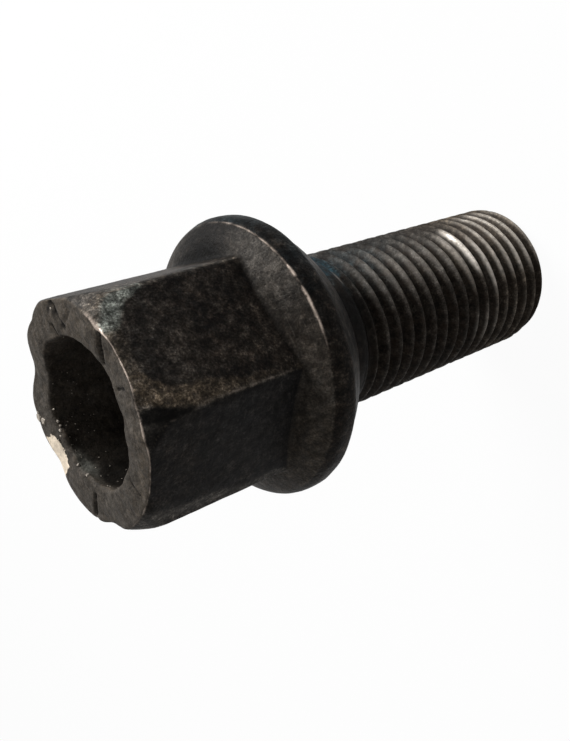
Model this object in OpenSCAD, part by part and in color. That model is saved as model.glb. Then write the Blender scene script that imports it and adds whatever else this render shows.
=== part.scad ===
// Wheel bolt, one piece of forged and rolled steel, standing on its threaded tip.
// The axis is Z, the tip face is at Z = 0 and the hollow hexagon head is at the top.

/* [Thread] */
// Major diameter of the metric thread
thread_d = 14; // [12:0.5:15]
// Distance from one thread turn to the next
thread_pitch = 1.5; // [1.25:0.05:1.75]
// Height above the tip where the last thread turn has run out
thread_end = 26.1; // [23:0.1:26.4]
// Height over which the thread groove fades out
runout_l = 2; // [1:0.1:4]
// Angle at which the first thread crest starts
thread_phase = 0; // [0:5:355]
// Amount the rolled crest stays under the major diameter, on the radius
crest_gap = 0.03; // [0.02:0.01:0.08]

/* [Shank] */
// Length from the tip face to the edge of the ball seat
shank_l = 27.5; // [27.2:0.1:30]
// Length of plain neck between the thread and the ball seat
neck_l = 1.3; // [0.8:0.1:1.3]
// Diameter of the flat tip face
tip_face_d = 11.5; // [9:0.1:12]
// Slope of the tip chamfer from the flat face
tip_angle = 45; // [30:1:60]

/* [Ball seat and flange] */
// Radius of the ball seat that centres the wheel
seat_r = 13; // [12:0.5:14]
// Diameter where the ball seat ends at the flange rim
seat_d = 21.9; // [20:0.1:22.5]
// Largest diameter of the flange rim
flange_d = 23.4; // [23:0.1:26]
// Height of the sloping lower edge of the rim
rim_under_h = 0.75; // [0.4:0.05:1.2]
// Height of the plain band of the rim
rim_band_h = 1.05; // [0.4:0.05:2]
// Height of the rounding between the rim band and the worn upper edge
rim_round_h = 0.65; // [0.6:0.05:1]
// Width of the rounding between the rim band and the worn upper edge
rim_round_w = 0.35; // [0.2:0.05:0.55]
// Rise of the domed upper side of the flange up to the hexagon
dome_rise = 1.5; // [0.6:0.1:2.5]
// How much the dome bulges over a straight slope
dome_bulge = 0.22; // [0.05:0.01:0.4]

/* [Hexagon head] */
// Width across the flats
hex_af = 17; // [15:1:19]
// Height of the head end face above the tip
total_l = 48.1; // [44:0.1:55]
// Rotation of the hexagon about the axis
hex_turn = 0; // [0:5:55]
// Diameter over the worn corners next to the flange
corner_d_low = 19.46; // [19:0.02:20.5]
// Diameter over the worn corners where the end chamfer starts
corner_d_high = 19.3; // [18.6:0.02:20]
// Height of the worn steep part of the end chamfer
wear_h = 1.5; // [0.5:0.1:3]
// Height of the end chamfer
chamfer_h = 1.35; // [0.6:0.05:2.5]
// Diameter of the end chamfer at the end face
chamfer_d = 17.1; // [16.2:0.1:17.6]
// Width of the strip a spanner wore on each flat next to the flange
strip_w_low = 0.35; // [0.1:0.05:1]
// Width of the worn strip at the end face
strip_w_high = 1.45; // [0.2:0.05:2.4]
// Slope of the worn strip against its flat
strip_angle = 9; // [5:1:20]

/* [Hollow] */
// Diameter of the round hollow in the head
hollow_d = 11.5; // [10:0.1:12.5]
// Depth of the hollow from the end face
hollow_depth = 12.4; // [6:0.2:14]
// Rounding of the lip of the hollow
lip_r = 0.4; // [0.2:0.05:0.8]
// Depth of the shallow cone at the bottom of the hollow
cone_depth = 1.2; // [0.4:0.1:3]

/* [Hidden] */
steel = [0.16, 0.15, 0.145];
$fn = 96;
eps = 0.01;
shank_r = thread_d / 2;
crest_r = shank_r - crest_gap;
// Depth of a rolled external metric thread, seventeen twenty-fourths of the sharp height
thread_depth = thread_pitch * sin(60) * 17 / 24;
root_r = shank_r - thread_depth;
thread_steps = 40;
thread_low = -thread_pitch;
thread_turns = ceil((thread_end + 2 * thread_pitch) / thread_pitch);
seat_z = shank_l + sqrt(seat_r * seat_r - shank_r * shank_r);
rim_z = seat_z - sqrt(seat_r * seat_r - seat_d * seat_d / 4);
band_z = rim_z + rim_under_h;
round_z = band_z + rim_band_h;
dome_z = round_z + rim_round_h;
dome_r = flange_d / 2 - rim_round_w;
flat_r = hex_af / 2;
hex_z = dome_z + dome_rise;
tip_l = (shank_r - tip_face_d / 2) * tan(tip_angle);

// Radius of the thread profile: four points a pitch, two in the valley and two on the crest
function profile_step(k) = [0, 0.25, 0.5625, 0.6875][k] * thread_pitch;
// The valley rises to the crest over the run-out
function valley_r(z) = crest_r - (crest_r - root_r) * max(0, min(1, (thread_end - z) / runout_l));
function profile_r(k, z) = k < 2 ? valley_r(z) : crest_r;

// One closed body with a right-hand helical thread, its two ends closed on the axis
module threaded_rod() {
    levels = thread_turns * 4;
    row = levels + 1;
    n = thread_steps;
    ring = [for (i = [0:n - 1])
        for (j = [0:levels])
            let (a = 360 * i / n,
                z = thread_low + thread_pitch * (floor(j / 4) + i / n) + profile_step(j % 4),
                r = profile_r(j % 4, z))
            [r * cos(a), r * sin(a), z]];
    low_end = [0, 0, thread_low - 1];
    high_end = [0, 0, thread_low + thread_pitch * (thread_turns + 1) + 1];
    // The column after the last one is the first column one turn higher
    function at(i, j) = i == n ? j + 4 : i * row + j;
    low = n * row;
    high = low + 1;
    walls = [for (i = [0:n - 1])
        for (j = [0:i == n - 1 ? levels - 5 : levels - 1])
            each [[at(i, j), at(i + 1, j + 1), at(i + 1, j)], [at(i, j), at(i, j + 1), at(i + 1, j + 1)]]];
    low_fan = concat(
        [for (i = [0:n - 1]) [low, at(i, 0), at(i + 1, 0)]],
        [for (j = [0:3]) [low, j + 1, j]]);
    high_fan = concat(
        [for (i = [0:n - 2]) [high, at(i + 1, levels), at(i, levels)]],
        [for (j = [levels - 4:levels - 1]) [high, at(n - 1, j), at(n - 1, j + 1)]],
        [[high, levels, at(n - 1, levels - 4)]]);
    polyhedron(points = concat(ring, [low_end, high_end]), faces = concat(walls, low_fan, high_fan),
        convexity = 10);
}

// Space the threaded end keeps to: flat tip face, chamfer, then free
module tip_space() {
    rotate_extrude()
        polygon([[0, 0], [tip_face_d / 2, 0], [shank_r + 1, tip_l + tan(tip_angle)],
            [shank_r + 1, shank_l + 4], [0, shank_l + 4]]);
}

// Circle segment standing on the left of the line from p to q, as high as the bulge
module bulge(p, q, high) {
    d = q - p;
    chord = norm(d);
    r = chord * chord / 8 / high + high / 2;
    m = (p + q) / 2 + [d[1], -d[0]] / chord * (high - r);
    intersection() {
        translate(m)
            circle(r = r);
        polygon([p, q, q + [d[1], -d[0]] / chord * high * 2, p + [d[1], -d[0]] / chord * high * 2]);
    }
}

// Plain neck, ball seat, rim and domed flange as one turned form
module seat_and_flange() {
    rotate_extrude() {
        translate([0, shank_l - neck_l])
            square([shank_r, neck_l + 1]);
        intersection() {
            translate([0, seat_z])
                circle(r = seat_r);
            translate([0, shank_l])
                square([seat_d / 2, rim_z - shank_l]);
        }
        polygon([[0, rim_z - eps], [seat_d / 2, rim_z - eps], [seat_d / 2, rim_z], [flange_d / 2, band_z],
            [flange_d / 2, round_z], [dome_r, dome_z], [flat_r, hex_z], [0, hex_z]]);
        bulge([flange_d / 2, round_z], [dome_r, dome_z], 0.08);
        bulge([dome_r, dome_z], [flat_r, hex_z], dome_bulge);
    }
}

// Turned outline that rounds the corners of the hexagon and gives it the end chamfer
module corner_space() {
    rotate_extrude()
        polygon([[0, dome_z - 1], [corner_d_low / 2, dome_z - 1], [corner_d_low / 2, hex_z],
            [corner_d_high / 2, total_l - chamfer_h - wear_h],
            [corner_d_high / 2 - 0.14, total_l - chamfer_h], [chamfer_d / 2, total_l], [0, total_l]]);
}

// Distance from the axis to a plane that leaves a worn strip of the given width on each flat
function strip_plane(w) = flat_r * cos(strip_angle) + (flat_r * tan(30) - w) * sin(strip_angle);

module hexagon() {
    h = total_l - dome_z + 1;
    intersection() {
        rotate(hex_turn)
            translate([0, 0, dome_z - 1])
                cylinder(r = flat_r / cos(30), h = h, $fn = 6);
        rotate(hex_turn - strip_angle)
            translate([0, 0, dome_z - 1])
                cylinder(r1 = strip_plane(strip_w_low) / cos(30), r2 = strip_plane(strip_w_high) / cos(30),
                    h = h, $fn = 6);
        corner_space();
    }
}

module hollow() {
    floor_z = total_l - hollow_depth;
    rotate_extrude()
        difference() {
            polygon([[0, floor_z - cone_depth], [hollow_d / 2, floor_z], [hollow_d / 2, total_l - lip_r],
                [hollow_d / 2 + lip_r, total_l - lip_r], [hollow_d / 2 + lip_r, total_l + 1],
                [0, total_l + 1]]);
            translate([hollow_d / 2 + lip_r, total_l - lip_r])
                circle(r = lip_r);
        }
}

module wheel_bolt() {
    color(steel)
        difference() {
            union() {
                intersection() {
                    rotate(thread_phase)
                        threaded_rod();
                    tip_space();
                }
                seat_and_flange();
                hexagon();
            }
            hollow();
        }
}

wheel_bolt();
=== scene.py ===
import math

import bpy
import numpy as np
from mathutils import Matrix, Vector, noise


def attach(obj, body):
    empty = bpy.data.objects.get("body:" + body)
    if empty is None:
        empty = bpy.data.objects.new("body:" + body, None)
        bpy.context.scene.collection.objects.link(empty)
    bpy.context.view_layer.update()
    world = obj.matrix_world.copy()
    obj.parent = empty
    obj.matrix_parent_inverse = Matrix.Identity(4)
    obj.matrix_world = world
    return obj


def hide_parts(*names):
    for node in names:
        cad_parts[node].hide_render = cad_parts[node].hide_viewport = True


bl_info = {
    "name": "Worn wheel bolt",
    "version": (1, 0, 0),
    "blender": (4, 5, 0),
    "location": "3D View > Sidebar > Wheel Bolt",
    "description": "Dresses the frame of a wheel bolt as the worn dark steel one in the photograph",
    "category": "Object",
}

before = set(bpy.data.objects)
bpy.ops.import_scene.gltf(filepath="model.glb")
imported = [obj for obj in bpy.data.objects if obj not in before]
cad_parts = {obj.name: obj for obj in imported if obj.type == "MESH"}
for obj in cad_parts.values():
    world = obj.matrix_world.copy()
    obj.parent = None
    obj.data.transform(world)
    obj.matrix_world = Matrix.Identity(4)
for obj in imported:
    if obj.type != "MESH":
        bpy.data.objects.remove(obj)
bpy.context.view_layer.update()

MM = 0.001
TURN = 2 * math.pi
SIXTH = math.pi / 3
PIECE = "wheel_bolt_steel"
# Millimetres that the highest points stay under the frame's top
SKIN = 0.001

# Rings of the head's parts, from the ball seat up and into the hollow
SEAT_POINTS = 18
TURNED_STEP = 0.2
DOME_ROWS = 15
PLAIN_ROWS = 40
WORN_ROWS = 26
FACE_ROWS = 18
LIP_ROWS = 5
WALL_ROWS = 12
HOLLOW_ROWS = 16
FLOOR_ROWS = 8
# Share of the flats below the finer rows, and depth of the hollow's ragged wall in millimetres
PLAIN_SHARE = 0.76
WALL_DEPTH = 3.0
# How the forged skin comes in over the dome's first rows, and how deep its pits are
EASE_IN = (0.1, 0.3, 0.6, 0.85)
PIT_DEPTH = 0.018


# Property helpers


def length(name, words, mm):
    """A length property, given in millimetres and kept in metres."""
    return bpy.props.FloatProperty(name=name, description=words, default=mm * MM, unit="LENGTH", precision=5)


def share(name, words, value):
    """A plain number property between zero and one."""
    return bpy.props.FloatProperty(name=name, description=words, default=value, min=0, max=1,
                                   subtype="FACTOR")


def amount(name, words, value):
    """A plain positive number property."""
    return bpy.props.FloatProperty(name=name, description=words, default=value, min=0)


def count(name, words, value):
    """A whole number property."""
    return bpy.props.IntProperty(name=name, description=words, default=value, min=1)


def angle(name, words, degrees):
    """An angle property, given in degrees."""
    return bpy.props.FloatProperty(name=name, description=words, default=math.radians(degrees),
                                   unit="ROTATION")


def colour(name, words, screen):
    """A colour property, given as it shows on a screen and kept as light."""
    light = [((c + 0.055) / 1.055) ** 2.4 if c > 0.04045 else c / 12.92 for c in screen]
    return bpy.props.FloatVectorProperty(name=name, description=words, default=light, min=0, max=1,
                                         size=3, subtype="COLOR")


class ShankSizes(bpy.types.PropertyGroup):
    """Sizes of the threaded shank."""
    crest_d: length("Crest diameter", "Diameter over the thread crests", 13.94)
    root_d: length("Root diameter", "Diameter in the thread valleys", 12.16)
    pitch: length("Pitch", "Distance from one thread turn to the next", 1.5)
    thread_end: length("Thread end", "Height where the last turn has run out", 26.1)
    runout: length("Run-out", "Height over which the valley fades out", 1.4)
    neck_d: length("Neck diameter", "Diameter of the plain neck", 14.0)
    joint_z: length("Joint height", "Height on the neck where the head's mesh takes over", 27.3)
    tip_d: length("Tip diameter", "Diameter of the flat tip face", 11.5)
    tip_rise: amount("Tip slope", "Rise of the tip chamfer over its run", 1.0)
    steps: count("Steps round", "Mesh columns round the shank", 144)
    rows: count("Rows a turn", "Mesh rows from one crest to the next", 16)
    wear: length("Crest wear", "Deepest wear of the crests", 0.09)
    wear_size: length("Wear size", "Size of the worn spots", 1.1)
    seed: count("Seed", "Seed of the worn spots", 7)


class HeadSizes(bpy.types.PropertyGroup):
    """Sizes of the seat, the flange and the hollow hexagon."""
    seat_start: length("Seat start", "Height where the ball seat starts", 27.5)
    seat_r: length("Seat radius", "Radius of the ball seat", 13.0)
    seat_d: length("Seat diameter", "Diameter where the ball seat ends", 21.9)
    flange_d: length("Flange diameter", "Largest diameter of the rim", 23.4)
    rim_low_z: length("Rim start", "Height where the seat meets the rim", 31.447)
    band_z: length("Band start", "Height where the rim reaches its diameter", 32.197)
    band_end_z: length("Band end", "Height where the rim starts to round off", 33.247)
    dome_z: length("Dome start", "Height of the worn outer edge of the dome", 33.897)
    dome_d: length("Dome diameter", "Diameter of the worn outer edge of the dome", 22.7)
    dome_rise: length("Dome rise", "Rise of the dome up to the flats", 1.5)
    dome_bulge: length("Dome bulge", "Bulge of the dome over a straight slope", 0.22)
    flat_af: length("Across flats", "Width of the hexagon across the flats", 17.0)
    total_l: length("Total length", "Height of the end face", 48.1)
    hollow_d: length("Hollow diameter", "Diameter of the hollow", 11.5)
    hollow_l: length("Hollow depth", "Depth of the hollow's wall", 12.4)
    cone_l: length("Hollow floor", "Depth of the cone in the hollow's floor", 1.2)
    strip_turn: angle("Strip slope", "Slope of the worn strip against its flat", 9.0)
    edge_r: length("Edge rounding", "Rounding of the worn edges of the hexagon", 0.10)
    rough: length("Forging skin", "Unevenness of the forged surface", 0.065)
    seed: count("Seed", "Seed of the unevenness", 3)


class SteelLooks(bpy.types.PropertyGroup):
    """Colours of the worn steel, the paint and the grit."""
    black: colour("Black oxide", "Darkest skin of the steel", (0.060, 0.057, 0.054))
    brown: colour("Brown oxide", "Brown skin between the black", (0.150, 0.134, 0.118))
    rust: colour("Rust", "Rust brown in pits and on flats", (0.185, 0.145, 0.115))
    slate: colour("Slate", "Smooth cool skin of the flat beside the lower corner", (0.100, 0.099, 0.100))
    # Blue used as a painted sheen on the lit side under the seat, on the rim and on the shank, and in the
    # painted highlight on the neck
    blue: colour("Blue oxide", "Cold tint in the upper recesses", (0.150, 0.230, 0.260))
    ash: colour("Ash", "Dull grey-brown of the end face", (0.295, 0.280, 0.262))
    earth: colour("Earth", "Tan film on the worn corners", (0.365, 0.320, 0.265))
    tan: colour("Tan edge", "Rubbed edges with a pale film", (0.660, 0.605, 0.560))
    # Bare steel colour, used only for the painted highlight on the thread's crests
    bare: colour("Bare steel", "Steel rubbed bare", (0.860, 0.830, 0.790))
    moss: colour("Grey-green", "Grey-green film beside the upper corner", (0.400, 0.412, 0.390))
    paint: colour("Paint", "Cream paint left on the end face", (0.830, 0.775, 0.700))
    grit: colour("Grit", "Pale sand grains", (0.740, 0.700, 0.650))
    gloss: share("Roughness", "Roughness of the oxide skin", 0.46)
    shine: share("Shine", "Specular level of the dull oxide skin", 0.03)


class StageLooks(bpy.types.PropertyGroup):
    """Camera, lamps and floor."""
    lens: amount("Lens", "Focal length in millimetres", 52.0)
    place: bpy.props.FloatVectorProperty(name="Camera place", description="Where the camera stands", size=3,
                                         default=(0.054770, 0.010332, 0.071031), subtype="TRANSLATION")
    key: amount("Key lamp", "Power of the large soft lamp over the shank", 1.0)
    fill: amount("Fill lamp", "Power of the soft lamp beside the camera", 1.0)
    sky: amount("Sky", "Strength of the even light from all round", 0.07)
    page: share("Page", "How far the floor shows as a plain white page", 0.96)
    floor: colour("Floor", "Colour of the floor", (0.82, 0.82, 0.82))


GROUPS = (
    (ShankSizes, "bolt_shank"),
    (HeadSizes, "bolt_head"),
    (SteelLooks, "bolt_steel"),
    (StageLooks, "bolt_stage"),
)


# Node helpers


class Wire:
    """One output in a node tree; the usual signs between wires add Math nodes."""

    def __init__(self, tree, socket):
        self.tree = tree
        self.socket = socket

    def __add__(self, other):
        return calc("ADD", self, other)

    def __sub__(self, other):
        return calc("SUBTRACT", self, other)

    def __rsub__(self, other):
        return put(self.tree, "ShaderNodeMath", {0: other, 1: self}, operation="SUBTRACT")

    def __mul__(self, other):
        return calc("MULTIPLY", self, other)

    def __truediv__(self, other):
        return calc("DIVIDE", self, other)

    def __rtruediv__(self, other):
        return put(self.tree, "ShaderNodeMath", {0: other, 1: self}, operation="DIVIDE")

    def fit(self, scale, shift):
        """The wire times one value plus another, in one node."""
        return calc("MULTIPLY_ADD", self, scale, shift)

    def least(self, other):
        """The lesser of the wire and another value."""
        return calc("MINIMUM", self, other)

    def most(self, other):
        """The greater of the wire and another value."""
        return calc("MAXIMUM", self, other)


def plug(socket, value):
    """Links a wire into a socket, or sets a plain value on it."""
    if isinstance(value, Wire):
        value.tree.links.new(value.socket, socket)
    else:
        socket.default_value = value


def put(tree, kind, inputs=None, out=0, **settings):
    """Adds a node with its settings and inputs, and gives one of its outputs."""
    node = tree.nodes.new(kind)
    for name, value in settings.items():
        setattr(node, name, value)
    for key, value in (inputs or {}).items():
        plug(node.inputs[key], value)
    return Wire(tree, node.outputs[out])


def calc(operation, wire, second=0.0, third=0.0):
    """One Math node whose first value is a wire."""
    return put(wire.tree, "ShaderNodeMath", {0: wire, 1: second, 2: third}, operation=operation)


def full(rgb):
    """A colour with its alpha."""
    return (*rgb[:3], 1.0)


def split(vector):
    """The three parts of a vector."""
    first = put(vector.tree, "ShaderNodeSeparateXYZ", {"Vector": vector})
    return [Wire(vector.tree, socket) for socket in first.socket.node.outputs]


def join(x, y, z):
    """A vector of three wires."""
    return put(x.tree, "ShaderNodeCombineXYZ", {"X": x, "Y": y, "Z": z})


def ramp(wire, low, high, to_low=0.0, to_high=1.0):
    """Maps a range of a wire softly onto another range."""
    return put(wire.tree, "ShaderNodeMapRange", {"Value": wire, "From Min": low, "From Max": high,
                                                 "To Min": to_low, "To Max": to_high},
               interpolation_type="SMOOTHSTEP")


def noise_at(place, scale, detail, roughness=0.5, shift=None):
    """A noise over a place; a shift gives another draw of it."""
    inputs = {"Vector": place, "Scale": scale, "Detail": detail, "Roughness": roughness}
    if shift is None:
        return put(place.tree, "ShaderNodeTexNoise", inputs)
    return put(place.tree, "ShaderNodeTexNoise", {**inputs, "W": shift}, noise_dimensions="4D")


def new_group(name, kind, inputs, result):
    """A node group with named inputs and one output: its tree and its inputs as wires."""
    tree = bpy.data.node_groups.new(name, kind)
    for label, socket_kind, value in inputs:
        item = tree.interface.new_socket(label, in_out="INPUT", socket_type="NodeSocket" + socket_kind)
        if value is not None:
            item.default_value = value
    label, socket_kind = result
    tree.interface.new_socket(label, in_out="OUTPUT", socket_type="NodeSocket" + socket_kind)
    sockets = tree.nodes.new("NodeGroupInput").outputs
    return tree, {label: Wire(tree, sockets[label]) for label, _, _ in inputs}


def close_group(wire):
    """Links the group's output and gives its tree."""
    plug(wire.tree.nodes.new("NodeGroupOutput").inputs[0], wire)
    return wire.tree


def run_tree(tree, mesh, values, name):
    """Runs a geometry tree on a mesh and gives back its plain mesh."""
    carrier = bpy.data.objects.new(name + "_carrier", mesh)
    bpy.context.scene.collection.objects.link(carrier)
    modifier = carrier.modifiers.new(name, "NODES")
    modifier.node_group = tree
    for item in tree.interface.items_tree:
        if item.in_out == "INPUT" and item.name in values:
            modifier[item.identifier] = values[item.name]
    bpy.context.view_layer.update()
    found = carrier.evaluated_get(bpy.context.evaluated_depsgraph_get())
    plain = bpy.data.meshes.new_from_object(found)
    carrier.modifiers.remove(modifier)
    bpy.data.objects.remove(carrier)
    return plain


# Threaded shank


def thread_tree():
    """A grid wound round the axis as a right-hand thread, closed over the tip face."""
    sizes = (("Pitch", 1.5 * MM), ("Crest Radius", 7 * MM), ("Root Radius", 6 * MM),
             ("Thread End", 26 * MM), ("Run-out", 2 * MM), ("Neck Radius", 7 * MM),
             ("Top", 27 * MM), ("Tip Radius", 5.8 * MM), ("Tip Slope", 1.0),
             ("Wear Depth", 0.05 * MM), ("Wear Size", 1 * MM), ("Seed", 0.0))
    counts = (("Steps", 144), ("Rows", 16), ("Turns", 21), ("Lead Turns", 2))
    inputs = [(name, "Float", value) for name, value in sizes]
    inputs += [(name, "Int", value) for name, value in counts]
    inputs.append(("Steel", "Material", None))
    tree, given = new_group("rolled_thread", "GeometryNodeTree", inputs, ("Geometry", "Geometry"))
    crest_r, top, thread_end = given["Crest Radius"], given["Top"], given["Thread End"]
    wear_size, seed = given["Wear Size"], given["Seed"]

    grid = put(tree, "GeometryNodeMeshGrid", {
        "Size X": 1.0, "Size Y": 1.0, "Vertices X": given["Steps"] + 1,
        "Vertices Y": given["Rows"].fit(given["Turns"], 1)}, "Mesh")
    grid_x, grid_y, _ = split(put(tree, "GeometryNodeInputPosition"))
    across = grid_x + 0.5
    along = (grid_y + 0.5) * given["Turns"]
    rise = (along + across - given["Lead Turns"]) * given["Pitch"]
    height = rise.most(0.0).least(top)

    # Distance from the middle of the crest, in turns, and the rounded profile over it
    turn = across * TURN
    cosine = calc("COSINE", turn)
    sine = calc("SINE", turn)
    sway = noise_at(join(cosine * crest_r, sine * crest_r, rise), 0.5 / wear_size, 2.0, shift=seed)
    sway_share = 0.12
    crest_middle = 0.625
    valley_edge, crest_edge = 0.40, 0.045
    valley_round, crest_round = 0.30, 0.55
    off = calc("ABSOLUTE", calc("FRACT", (sway - 0.5).fit(sway_share, along)) - crest_middle)
    off = off.least(1.0 - off)
    flank = put(tree, "ShaderNodeMapRange", {"Value": off, "From Min": valley_edge, "From Max": crest_edge,
                                             "To Min": -0.08, "To Max": 1.06}, clamp=False)
    lobe = calc("SMOOTH_MAX", calc("SMOOTH_MIN", flank, 1.0, crest_round), 0.0, valley_round).least(1.0)
    fading = ((thread_end - height) / given["Run-out"]).most(0.0).least(1.0)
    depth = (crest_r - given["Root Radius"]) * fading
    cut = lobe.fit(depth, crest_r - depth)
    neck = ramp(height, thread_end + 0.05 * MM, thread_end + 0.35 * MM)
    cut = neck.fit(given["Neck Radius"] - cut, cut)

    # Wear: soft hollows and small dings, strongest on the crests, none where the head takes over
    soft = noise_at(join(cosine * cut, sine * cut, rise), 1.0 / wear_size, 3.0, 0.6, seed)
    worn = ramp(soft, 0.56, 0.70).fit(0.7, soft * 0.3) * lobe.fit(0.75, 0.25) * given["Wear Depth"]
    cut = cut - worn * ramp(height, top - 1.2 * MM, top, 1.0, 0.0)

    # The tip chamfer bounds the thread, and below the face the rows close in on the axis
    closing = 4.2
    inward = rise.fit(closing, given["Tip Radius"])
    below = put(tree, "FunctionNodeCompare", {"A": rise, "B": 0.0}, data_type="FLOAT", operation="LESS_THAN")
    cone = put(tree, "GeometryNodeSwitch", {"Switch": below, "True": inward,
                                            "False": given["Tip Radius"] + rise / given["Tip Slope"]},
               input_type="FLOAT")
    tip_round = 0.12 * MM
    radius = calc("SMOOTH_MIN", cut, cone, tip_round).most(0.0)

    # The crest mask is stored while the points still lie on the flat grid that the fields are read from
    crest = lobe * fading * ramp(rise, -0.4 * MM, 0.6 * MM)
    store = put(tree, "GeometryNodeStoreNamedAttribute", {"Geometry": grid, "Name": "crest", "Value": crest},
                data_type="FLOAT", domain="POINT")
    wound = put(tree, "GeometryNodeSetPosition", {
        "Geometry": store, "Position": join(cosine * radius, sine * radius, height)})
    weld_gap = 0.0012 * MM
    weld = put(tree, "GeometryNodeMergeByDistance", {"Geometry": wound, "Distance": weld_gap})
    smooth = put(tree, "GeometryNodeSetShadeSmooth", {"Geometry": weld})
    real = put(tree, "GeometryNodeRealizeInstances", {"Geometry": smooth})
    return close_group(put(tree, "GeometryNodeSetMaterial", {"Geometry": real, "Material": given["Steel"]}))


# Head


def rough(points, size, octaves, shift):
    """Smooth unevenness between about -1 and 1 over points in millimetres."""
    away = Vector((shift, shift * 1.7, -shift))
    return np.array([noise.fractal(Vector(p) / size + away, 1.0, 2.0, octaves) for p in points])


def soft_min(a, b, width):
    """The lesser of two, rounded over where they cross."""
    mix = np.clip(1 - np.abs(a - b) / width, 0, 1)
    return np.minimum(a, b) - mix * mix * width / 4


def wrap(turn):
    """An angle brought to between minus and plus half a turn."""
    return (turn + math.pi) % TURN - math.pi


def hill(value, middle, width):
    """A soft hill round a value."""
    return np.exp(-((value - middle) / width) ** 2)


def grow(value, start, width):
    """Grows from 0 at a start to 1 a width on; a negative width grows the other way."""
    return np.clip((value - start) / width, 0, 1)


def bump(turn, at, width):
    """A soft hill round an angle, in degrees."""
    return hill(np.degrees(wrap(turn - math.radians(at))), 0, width)


def ring(radius, turn, z):
    """One ring of points in millimetres."""
    return np.stack([radius * np.cos(turn), radius * np.sin(turn), z + 0 * turn], 1)


def polar(degrees, radius):
    """A point on the end face by its angle and radius."""
    turn = math.radians(degrees)
    return np.array([radius * math.cos(turn), radius * math.sin(turn)])


def along_line(corners, step):
    """Points evenly spaced along a broken line, the first and last kept."""
    corners = np.array(corners)
    run = np.concatenate([[0], np.cumsum(np.linalg.norm(np.diff(corners, axis=0), axis=1))])
    spots = np.linspace(0, run[-1], max(2, int(round(run[-1] / step)) + 1))
    return np.stack([np.interp(spots, run, corners[:, k]) for k in range(corners.shape[1])], 1)


# Widths of the worn strips on the six flats, as shares, from the flat at 30 degrees on
STRIP_SHARES = np.array([0.85, 1.0, 0.9, 1.0, 0.8, 1.65])

# Dents in the outer edge of the end: angle, depth, half width in degrees, height they fade over
EDGE_DENTS = (
    (155.0, 0.66, 9.0, 1.5),
    (166.0, 0.25, 5.0, 0.9),
    (122.0, 0.18, 5.0, 0.8),
    (47.0, 0.40, 4.5, 0.5),
    (1.0, 0.62, 8.0, 0.9),
    (-43.0, 0.15, 5.0, 0.6),
    (-90.0, 0.20, 6.0, 0.9),
    (-106.5, 0.22, 1.6, 0.6),
    (-150.0, 0.25, 7.0, 0.8),
    (-176.0, 0.15, 4.0, 0.7),
)

# How far the lip of the hollow stands off its circle: angle, amount, half width in degrees
LIP_WAVES = (
    (122.0, 0.35, 9.0),
    (152.0, -0.36, 8.0),
    (-159.0, -0.50, 9.0),
    (-139.0, -0.14, 6.0),
    (-113.0, -0.36, 10.0),
    (-92.0, -0.18, 8.0),
    (10.0, 0.12, 12.0),
    (48.0, 0.12, 12.0),
    (66.0, 0.06, 6.0),
)

# Height lost at the end face: angle, amount, half width in degrees
END_LOWS = (
    (30.0, 0.26, 16.0),
    (-30.0, 0.24, 16.0),
    (155.0, 0.30, 16.0),
    (-150.0, 0.25, 18.0),
    (95.0, 0.15, 14.0),
    (-90.0, 0.18, 14.0),
    (1.0, 0.18, 7.0),
)

# Grooves in the end face: start, end, width, depth
END_GROOVES = (
    (polar(45.5, 8.30), polar(40.5, 7.10), 0.20, 0.34),
    (polar(40.5, 7.10), polar(36.8, 6.30), 0.15, 0.26),
    (polar(18.1, 6.60), polar(16.5, 7.45), 0.16, 0.18),
    (polar(-105.2, 6.50), polar(-107.5, 8.80), 0.13, 0.36),
    (polar(95.5, 8.65), polar(92.0, 8.00), 0.22, 0.20),
    (polar(92.0, 8.00), polar(90.0, 7.40), 0.26, 0.30),
    (polar(90.0, 7.30), polar(84.0, 6.55), 0.22, 0.22),
    (polar(100.5, 6.80), polar(98.0, 6.00), 0.15, 0.16),
    (polar(72.5, 7.80), polar(84.0, 6.30), 0.16, 0.10),
    (polar(-36.8, 5.86), polar(-43.2, 6.39), 0.09, 0.12),
    (polar(-43.2, 6.39), polar(-44.1, 7.86), 0.09, 0.14),
    (polar(-158.0, 6.20), polar(-143.0, 6.65), 0.13, 0.16),
    (polar(170.0, 6.90), polar(176.0, 8.20), 0.18, 0.08),
    (polar(-70.0, 6.20), polar(-62.0, 7.60), 0.18, 0.06),
)


def hex_parts(turn, z, s):
    """Radius of the flats, the worn strips and the turned outline of the hexagon."""
    flat_r = s.flat_af / MM / 2
    total = s.total_l / MM
    low_z = s.dome_z / MM
    local = (turn % SIXTH) - SIXTH / 2
    flat = flat_r / np.cos(local)
    which = (np.floor(turn / SIXTH) % 6).astype(int)
    up = np.clip((z - low_z) / (total - low_z), 0, 1)
    tilt = s.strip_turn
    strips = []
    for shift, index in ((0.0, which), (SIXTH, (which + 1) % 6)):
        width = (0.30 + 0.95 * up ** 1.3) * STRIP_SHARES[index] + 0.12 * np.sin(z * 1.1 + index * 2.3)
        plane = flat_r * math.cos(tilt) + (flat_r * math.tan(SIXTH / 2) - width) * math.sin(tilt)
        strips.append(plane / np.cos(local - shift + tilt))
    outline = np.interp(z, (low_z, total - 3.1, total - 2.1, total - 1.35, total - 0.95, total - 0.6,
                            total - 0.3, total),
                        (9.73, 9.66, 9.62, 9.50, 9.30, 9.08, 8.88, 8.56))
    return flat, np.minimum(strips[0], strips[1]), outline


def hex_radius(turn, z, s):
    """Radius of the worn hexagon at some angles and heights."""
    flat, strip, outline = hex_parts(turn, z, s)
    edge = s.edge_r / MM
    return soft_min(soft_min(flat, strip, edge), outline, edge * 1.6)


def dome_height(radius, s):
    """Height of the domed side of the flange at a radius."""
    outer = s.dome_d / MM / 2
    inner = s.flat_af / MM / 2
    t = (outer - radius) / (outer - inner)
    return s.dome_z / MM + s.dome_rise / MM * t + 4.5 * s.dome_bulge / MM * t * (1 - t)


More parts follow.
